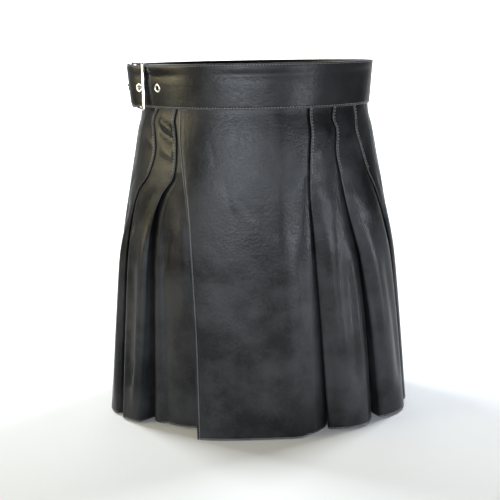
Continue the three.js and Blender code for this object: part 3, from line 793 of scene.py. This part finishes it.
# Waistband
# One long strip of doubled leather, 61 mm high, that winds once round the waist and on under the
# front. The outer end narrows to a strap. Both edges are topstitched and softly rounded.
band_thickness = 2.8
band_top = band_height / 2
# The third colour is the pale edge tone: partly wear, partly a painted highlight.
band_leather = leather_finish(
    "band_leather", (0.004, 0.004, 0.0045, 1.0), (0.014, 0.014, 0.015, 1.0), (0.14, 0.14, 0.135, 1.0),
    shine=0.11, grain_size=0.0012,
)


def place_on_band(degrees, depth, z, along=0.0):
    """The waistband's sides are straight between its two edges."""
    degrees, depth, z, along = np.broadcast_arrays(degrees, depth, z, along)
    upper = place(turned(degrees, 0 * z + band_top, along), depth, 0 * z + band_top)
    lower = place(turned(degrees, 0 * z - band_top, along), depth, 0 * z - band_top)
    return upper + (lower - upper) * ((band_top - z) / band_height)[..., None]


# Strap and front length: degrees, depth of the strip's middle inside the section, half height
front_rows = [
    (95, -0.9, 30.5), (60, -1.8, 30.5), (20, -2.6, 30.5), (-15, -3, 30.5), (-38, -3, 29.8), (-50, -3, 29.6),
    (-60.5, -2.9, 29), (-63, -3.1, 28.9), (-64.8, -4.7, 28.8), (-66.8, -7.6, 28.8), (-69.4, -10.8, 29.2),
    (-73, -13.2, 30.4), (-76.5, -14.2, 31.1), (-80, -14.3, 31.2), (-83.4, -13.1, 30.8), (-87, -10.2, 29.6),
    (-90.5, -7.8, 28), (-94.5, -6.9, 26.4), (-101, -6.8, 24), (-106, -6.8, 19), (-109, -6.8, 11),
]
back_rows = [(-60.4, 0.6, 30.5), (-264.6, -0.9, 30.5)]
inner_rows = [(28, 1.6, 30.5), (-20, 1.3, 30.5), (-60, 0.6, 30.5)]
strip_step = 1.5
edge_share = 0.985
stitch_inset = 2.4
stitched_row = 4
strap_roll = 1.2


def band_strip(name, node, rows, roll=0.0):
    """A length of the band: thick in the middle, drawn in along its stitches, rounded at its edges."""
    at, depths, halves = zip(*rows)
    count = int(abs(at[-1] - at[0]) / strip_step)
    degrees = np.linspace(at[0], at[-1], count + 1)
    depth = smooth_table(at, depths, degrees)
    half = smooth_table(at, halves, degrees)
    stitched_share = 1 - stitch_inset / band_top
    shares = [1, edge_share, 0.97, 0.945, stitched_share, 0.895, 0.87, 0.84, 0.78, 0.7, 0.6, 0.5, 0.4]
    shares += [0.25, 0.1]
    shares = np.array(shares + [-share for share in shares[::-1]])
    trough = 1.2 * hump(shares - 0.5, 0.16)
    slack = trough[:, None] * (0.6 + 0.4 * np.sin(degrees * 0.11 + 1.3)) * ramp((95 - np.abs(degrees)) / 20)
    heights = shares[:, None] * half
    edge_distance = (1 - np.abs(shares))[:, None] * half
    rolled = roll * ramp((-degrees - 72) / 4) * ramp((degrees + 88) / 5)
    rolled = rolled * ramp((np.abs(shares)[:, None] - 0.72) / 0.28)
    middle = place_on_band(degrees, depth + rolled + slack, heights)
    swell = band_thickness / 2 * np.minimum(1, 0.45 + 0.55 * np.sqrt(np.clip(edge_distance / 1.2, 0, 1)))
    swell = swell - 0.22 * hump(edge_distance - stitch_inset, 0.8)
    across = across_line(middle) * swell[..., None]
    width = float(line_length(middle)[len(shares) // 2, -1])
    end_distance = (degrees - degrees[-1]) / (degrees[0] - degrees[-1]) * width
    # Pale band edges and strap end: partly wear, partly a painted highlight on the rounded edges.
    wear_and_highlight = 0.6 * hump(np.minimum(edge_distance, end_distance), 0.9)
    piece = shell(name, middle + across, middle - across, wear_and_highlight, band_leather)
    width = width * 0.001
    fit(piece, node)
    outer = middle - across
    out = -across_line(middle)
    return piece, [list(zip(outer[row], out[row])) for row in (stitched_row, -1 - stitched_row)]


_, back_seams = band_strip("band_back_length", "waistband_back", back_rows)
band_strip("band_inner_end", "waistband_under", inner_rows)
front_length, front_seams = band_strip("band_front_length", "waistband_front", front_rows, strap_roll)
sew("band_front_stitches", front_seams, slant=0.05, seed=7)
sew("band_back_stitches", back_seams, slant=0.05, seed=8)

# Eyelets
# Three nickel-plated eyelets, set through the strap end of the waistband and rolled over on its
# outer face. The middle one takes the buckle's prong.
eyelet_height = -2.0
eyelet_rows = [(-51.2, 0.35), (-66.8, 0.5), (-82.6, 0.35)]
eyelet_outer = 6.0
eyelet_bore = 3.1
barrel_outer = 3.6
flange = 0.9
eyelet_sides = 40
front_at, front_depth, _ = zip(*front_rows)


# Polished nickel plate with faint cloudiness and hairline scratches
buckle_steel, metal, plate, points = new_finish("buckle_steel")
metal.inputs["Metallic"].default_value = 1.0
stretched = plate.node("ShaderNodeMapping", {}, {"Vector": points, "Scale": (1.0, 1.0, 0.08)})
haze = plate.noise(points, 160.0, 4.0)
scratch = plate.noise(stretched, 2400.0)
plate_relief = plate.node("ShaderNodeBump", {}, {
    "Height": 0.00002 * scratch, "Distance": 1.0, "Strength": 0.5,
})
connect(metal, {
    "Base Color": plate.blend(haze, (0.62, 0.62, 0.61, 1.0), (0.86, 0.86, 0.85, 1.0)),
    "Roughness": 0.1 + 0.16 * haze + 0.06 * scratch, "Normal": plate_relief,
})


def closed_tube(name, rings, material, loop=False):
    """A mesh of rings of points (rings, points, 3), closed at its ends or joined to a loop."""
    count, sides = rings.shape[:2]
    index = np.arange(count * sides).reshape(count, sides)
    after = np.roll(index, -1, axis=1)
    following = np.roll(index, -1, axis=0)
    quads = np.stack([index, following, np.roll(following, -1, axis=1), after], -1)
    faces = quads[:count if loop else count - 1].reshape(-1, 4).tolist()
    if not loop:
        faces += [index[0].tolist(), index[-1, ::-1].tolist()]
    mesh = bpy.data.meshes.new(name)
    mesh.from_pydata((rings.reshape(-1, 3) * 0.001).tolist(), [], faces)
    shape = bmesh.new()
    shape.from_mesh(mesh)
    bmesh.ops.recalc_face_normals(shape, faces=shape.faces)
    shape.to_mesh(mesh)
    shape.free()
    finish_mesh(mesh, material, 50)
    return lay_out(name, mesh)


def strap_seat(degrees):
    """The middle of the strap's eyelet line at an angle, with the directions along, out and up."""
    def at(angle):
        return place_on_band(angle, smooth_table(front_at, front_depth, angle), eyelet_height)

    ahead = unit(at(degrees + 0.9) - at(degrees - 0.9))
    upward = unit(place_on_band(degrees, 0, 10) - place_on_band(degrees, 0, -10))
    out = unit(np.cross(ahead, upward))
    return at(degrees), ahead, out, np.cross(ahead, out)


def turned_ring(seat, profile, sides):
    """Rings of a shape that is turned about the direction out of a seat; profile is (radius, height)."""
    middle, ahead, out, up = seat
    angles = np.linspace(0, 2 * np.pi, sides, endpoint=False)
    radius, height = np.array(profile).T
    spokes = np.cos(angles)[:, None] * ahead + np.sin(angles)[:, None] * up
    return middle + spokes[:, None, :] * radius[:, None] + out * height[:, None]


def cut_away(piece, cutter):
    """Cuts a shape out of a piece and removes the cutter."""
    hole = piece.modifiers.new("cut", "BOOLEAN")
    hole.operation = "DIFFERENCE"
    hole.solver = "EXACT"
    hole.object = cutter
    make_plain(piece)
    bpy.data.objects.remove(cutter)


for number, (degrees, lift) in enumerate(eyelet_rows, 1):
    seat = strap_seat(degrees)
    top_of_band = band_thickness / 2 + lift
    barrel_end = 0.3 - band_thickness / 2
    middle_radius = (eyelet_outer + eyelet_bore) / 2
    half_width = (eyelet_outer - eyelet_bore) / 2
    rolled = [
        (middle_radius + half_width * math.cos(turn), top_of_band + flange * math.sin(turn) ** 0.8)
        for turn in np.linspace(0, math.pi, 10)
    ]
    profile = [(barrel_outer, barrel_end), (barrel_outer, top_of_band)]
    profile += rolled + [(eyelet_bore, barrel_end)]
    ring = turned_ring(seat, profile, eyelet_sides)
    fit(closed_tube(f"eyelet_ring_{number}", ring, buckle_steel, True), f"eyelet_{number}")
    punch = [(0.01, -6), (barrel_outer + 0.3, -6), (barrel_outer + 0.3, 6), (0.01, 6)]
    cut_away(front_length, closed_tube("punch", turned_ring(seat, punch, 24), band_leather, True))

# Buckle
# A tall open frame of nickel-plated steel, a little higher than the band. The band goes under
# its front bar and over its rear bar, on which the prong and the keeper turn.
front_bar = (-61.8, -6.9)
rear_bar = (-79.5, -7.0)
frame_outer = 66.4
frame_side = 2.8
front_bar_width = 7.4
rear_bar_width = 4.0
frame_thickness = 3.2
front_bar_swell = 0.6
frame_corner = 3.0
window_corner = 1.0
lean_middle = 2.2
lean_ends = 2.8


def round_box(x0, x1, half, radius, corner_points=8):
    """A rounded rectangle's outline, with the same number of points for any size."""
    outline = []
    for x, y, start in ((x1 - radius, half - radius, 0), (x0 + radius, half - radius, 90),
                        (x0 + radius, radius - half, 180), (x1 - radius, radius - half, 270)):
        for turn in np.radians(np.linspace(start, start + 90, corner_points)):
            outline.append((x + radius * math.cos(turn), y + radius * math.sin(turn)))
    return np.array(outline)


front_end = place_on_band(*front_bar, 0)
rear_end = place_on_band(*rear_bar, 0)
bar_gap = np.linalg.norm(front_end - rear_end)
ahead = (front_end - rear_end) / bar_gap
face = unit(np.cross(ahead, unit(place_on_band(*rear_bar, 10) - place_on_band(*rear_bar, -10))))
up = np.cross(face, ahead)
outside = round_box(-rear_bar_width / 2, bar_gap + front_bar_width / 2, frame_outer / 2, frame_corner)
window = round_box(
    rear_bar_width / 2, bar_gap - front_bar_width / 2, frame_outer / 2 - frame_side, window_corner,
)
bar_turns = np.linspace(0, 2 * np.pi, 20, endpoint=False)
across_bar = (0.5 - 0.5 * np.cos(bar_turns))[None, :, None]
plan = mix(outside[:, None, :], window[:, None, :], across_bar)
height = frame_thickness / 2 * np.sign(np.sin(bar_turns)) * np.abs(np.sin(bar_turns)) ** 0.75
height = height[None, :, None] * (1 + front_bar_swell * ramp(plan[..., :1] / bar_gap))
lean_out = plan[..., :1] / bar_gap * (lean_middle - lean_ends * plan[..., 1:] / (frame_outer / 2))
bar_rings = rear_end + plan[..., :1] * ahead + plan[..., 1:] * up + (height + lean_out) * face
fit(closed_tube("buckle_bars", bar_rings, buckle_steel, True), "buckle_frame")

# Prong
# A round nickel-plated pin. It hooks round the rear bar, comes up through the middle eyelet and
# lies on the front bar, with a rounded tip.
prong_radius = 1.1
prong_rows = [
    (-81.2, -7), (-80.8, -5), (-79.5, -3.9), (-76, -3.6), (-72, -3.6), (-69.4, -4.3), (-68, -6),
    (-66.6, -8.6), (-64.9, -10.2), (-62.6, -10.3), (-60, -10.1),
]
prong_count = 60
prong_length = 30
tip_length = 1.2
prong_points = np.array([place_on_band(*row, eyelet_height) for row in prong_rows])
prong_steps = np.arange(len(prong_points))
fine = np.linspace(0, prong_steps[-1], prong_count)
path = np.stack([smooth_table(prong_steps, prong_points[:, axis], fine) for axis in range(3)], -1)
run = unit(np.gradient(path, axis=0))
aside = unit(np.cross(run, up))[:, None, :]
above = np.cross(aside, run[:, None, :])
numbers = np.arange(prong_count)
from_end = np.minimum(numbers, numbers[::-1]) / (prong_count - 1) * prong_length
tip = prong_radius * np.sqrt(np.clip(1 - (1 - np.clip(from_end / tip_length, 0, 1)) ** 2, 0.04, 1))
pin_turns = np.linspace(0, 2 * np.pi, 14, endpoint=False)[None, :, None]
pin_rings = path[:, None, :] + tip[:, None, None] * (np.cos(pin_turns) * aside + np.sin(pin_turns) * above)
fit(closed_tube("prong_pin", pin_rings, buckle_steel), "buckle_prong")

# Keeper
# A doubled strip of the band's leather, sewn to the end of the back length. It loops round the
# buckle's rear bar, with a slot in the middle for the prong.
keeper_leather = 1.5
keeper_half = 21.0
keeper_inner = -2.3
keeper_outer = -4.15
loop_radius = 3.4
loop_turn = 0.62 * math.pi
tail_angles = np.array([101.0, 98.5, 96.0, 93.5, 91.0, 89.2, 87.5])
keeper_z = np.linspace(keeper_half, -keeper_half, 22)[:, None]
loop = np.linspace(-loop_turn, loop_turn, 25)[None, :]
loop_points = place_on_band(
    rear_bar[0], rear_bar[1] - loop_radius * np.sin(loop), keeper_z, loop_radius * np.cos(loop),
)
inner_tail = place_on_band(-tail_angles[None, :], keeper_inner, keeper_z)
outer_tail = place_on_band(-tail_angles[None, ::-1], keeper_outer, keeper_z)
keeper_grid = np.concatenate([inner_tail, loop_points, outer_tail], axis=1)
keeper_across = across_line(keeper_grid) * (keeper_leather / 2)
# Pale keeper edges: partly wear, partly a painted highlight.
keeper_wear_and_highlight = 0.5 * hump(keeper_half - np.abs(keeper_z), 1.0) + 0 * keeper_grid[..., 0]
keeper = shell("keeper_loop", keeper_grid + keeper_across, keeper_grid - keeper_across, keeper_wear_and_highlight,
               band_leather)
slot_half = np.array([10.0, 10.0, 4.5])
slot_corners = np.array([
    [(-1, -1, level), (1, -1, level), (1, 1, level), (-1, 1, level)] for level in (-1, 1)
])
slot_rings = place_on_band(-77.6, -6.5, eyelet_height) + slot_corners * slot_half
cut_away(keeper, closed_tube("slot", slot_rings, band_leather))
fit(keeper, "buckle_keeper")

# Floor and light
# A plain pale floor under the hem that curves up into a plain wall. Low, wide softboxes with grids
# stand in front and at both sides, and three high ones behind light the wall and the floor.
floor_height = -0.5012
floor_front = -4.0
floor_back = 2.0
wall_curve = 1.2
wall_top = 3.5
wall_half = 6.0
pale, paper_shader, paper, points = new_finish("pale_floor")
paper_shader.inputs["Specular IOR Level"].default_value = 0.1
paper_shader.inputs["Roughness"].default_value = 0.9
connect(paper_shader, {
    "Base Color": paper.blend(paper.noise(points, 3.0, 3.0), (0.86, 0.86, 0.86, 1.0), (0.9, 0.9, 0.9, 1.0)),
})
sweep = [(floor_front, floor_height), (floor_back, floor_height)]
for turn in np.radians(np.linspace(0, 90, 16))[1:]:
    sweep.append((floor_back + wall_curve * math.sin(turn),
                  floor_height + wall_curve * (1 - math.cos(turn))))
sweep.append((floor_back + wall_curve, wall_top))
backdrop_mesh = bpy.data.meshes.new("backdrop")
backdrop_mesh.from_pydata(
    [(side * wall_half, y, z) for y, z in sweep for side in (-1, 1)], [],
    [(2 * i, 2 * i + 1, 2 * i + 3, 2 * i + 2) for i in range(len(sweep) - 1)],
)
backdrop_mesh.polygons.foreach_set("use_smooth", [True] * (len(sweep) - 1))
backdrop_mesh.materials.append(pale)
lay_out("backdrop", backdrop_mesh)

world = bpy.data.worlds.new("studio")
world.use_nodes = True
sky = world.node_tree.nodes["Background"]
sky.inputs["Color"].default_value = (1.0, 1.0, 1.0, 1.0)
sky.inputs["Strength"].default_value = 0.1
bpy.context.scene.world = world


def soft_light(name, at, target, width, height, watts, colour, spread):
    """A softbox with a grid in front that lets out light over this spread in degrees."""
    light = bpy.data.lights.new(name, "AREA")
    light.spread = math.radians(spread)
    light.shape = "RECTANGLE"
    light.size = width
    light.size_y = height
    light.energy = watts
    light.color = colour
    lamp = lay_out(name, light)
    lamp.location = at
    lamp.rotation_euler = (Vector(target) - Vector(at)).to_track_quat("-Z", "Y").to_euler()


# Name, place, the point that it faces, width and height, power, colour, and its grid's spread
cool = (0.86, 0.92, 1.0)
lamp_rows = [
    ("front_light", (-0.35, -2.4, -0.1), (0.0, 0.0, -0.12), 2.6, 0.3, 9.0, cool, 60),
    ("front_right_light", (1.5, -1.9, -0.3), (0.0, 0.0, -0.28), 0.8, 0.3, 1.2, cool, 40),
    ("right_light", (2.15, -0.6, -0.38), (0.0, 0.0, -0.44), 2.0, 0.14, 1.6, cool, 24),
    ("left_light", (-2.15, -0.34, 0.3), (0.0, 0.0, -0.12), 2.4, 0.6, 5.0, (1.0, 0.88, 0.52), 60),
    ("front_left_light", (-2.1, -0.9, 0.05), (0.0, 0.0, -0.15), 0.5, 0.5, 1.6, (1.0, 0.9, 0.6), 60),
    ("wall_light", (0.0, 1.6, 2.2), (0.0, 2.9, 0.2), 1.4, 1.0, 80.0, (0.95, 0.97, 1.0), 110),
    ("floor_light_left", (-1.2, 0.9, 1.3), (0.0, 0.2, -0.5), 0.7, 0.7, 10.0, (0.9, 0.95, 1.0), 90),
    ("floor_light_right", (1.2, 0.9, 1.3), (0.0, 0.2, -0.5), 0.7, 0.7, 10.0, (0.9, 0.95, 1.0), 90),
]
for lamp_row in lamp_rows:
    soft_light(*lamp_row)
bpy.context.scene.view_settings.view_transform = "Standard"

# Camera
# It stands where the photograph was taken from: in front, a little above the waistband, looking
# down at the middle of the kilt.
camera_at = (-0.0106, -1.352, 0.0545)
camera_pitch = math.radians(12.81)
camera_roll = 0.01756
camera_focal_pixels = 903.1
image_size = 500
sensor = 36.0
camera_data = bpy.data.cameras.new("camera")
camera_data.sensor_width = sensor
camera_data.lens = sensor * camera_focal_pixels / image_size
camera_data.clip_start = 0.05
camera = lay_out("camera", camera_data)
forward = np.array([0, math.cos(camera_pitch), -math.sin(camera_pitch)])
level_up = np.array([0, math.sin(camera_pitch), math.cos(camera_pitch)])
level_right = np.array([1.0, 0.0, 0.0])
view = np.eye(4)
view[:3, 0] = math.cos(camera_roll) * level_right - math.sin(camera_roll) * level_up
view[:3, 1] = math.sin(camera_roll) * level_right + math.cos(camera_roll) * level_up
view[:3, 2] = -forward
view[:3, 3] = camera_at
camera.matrix_world = Matrix(view.tolist())
bpy.context.scene.camera = camera
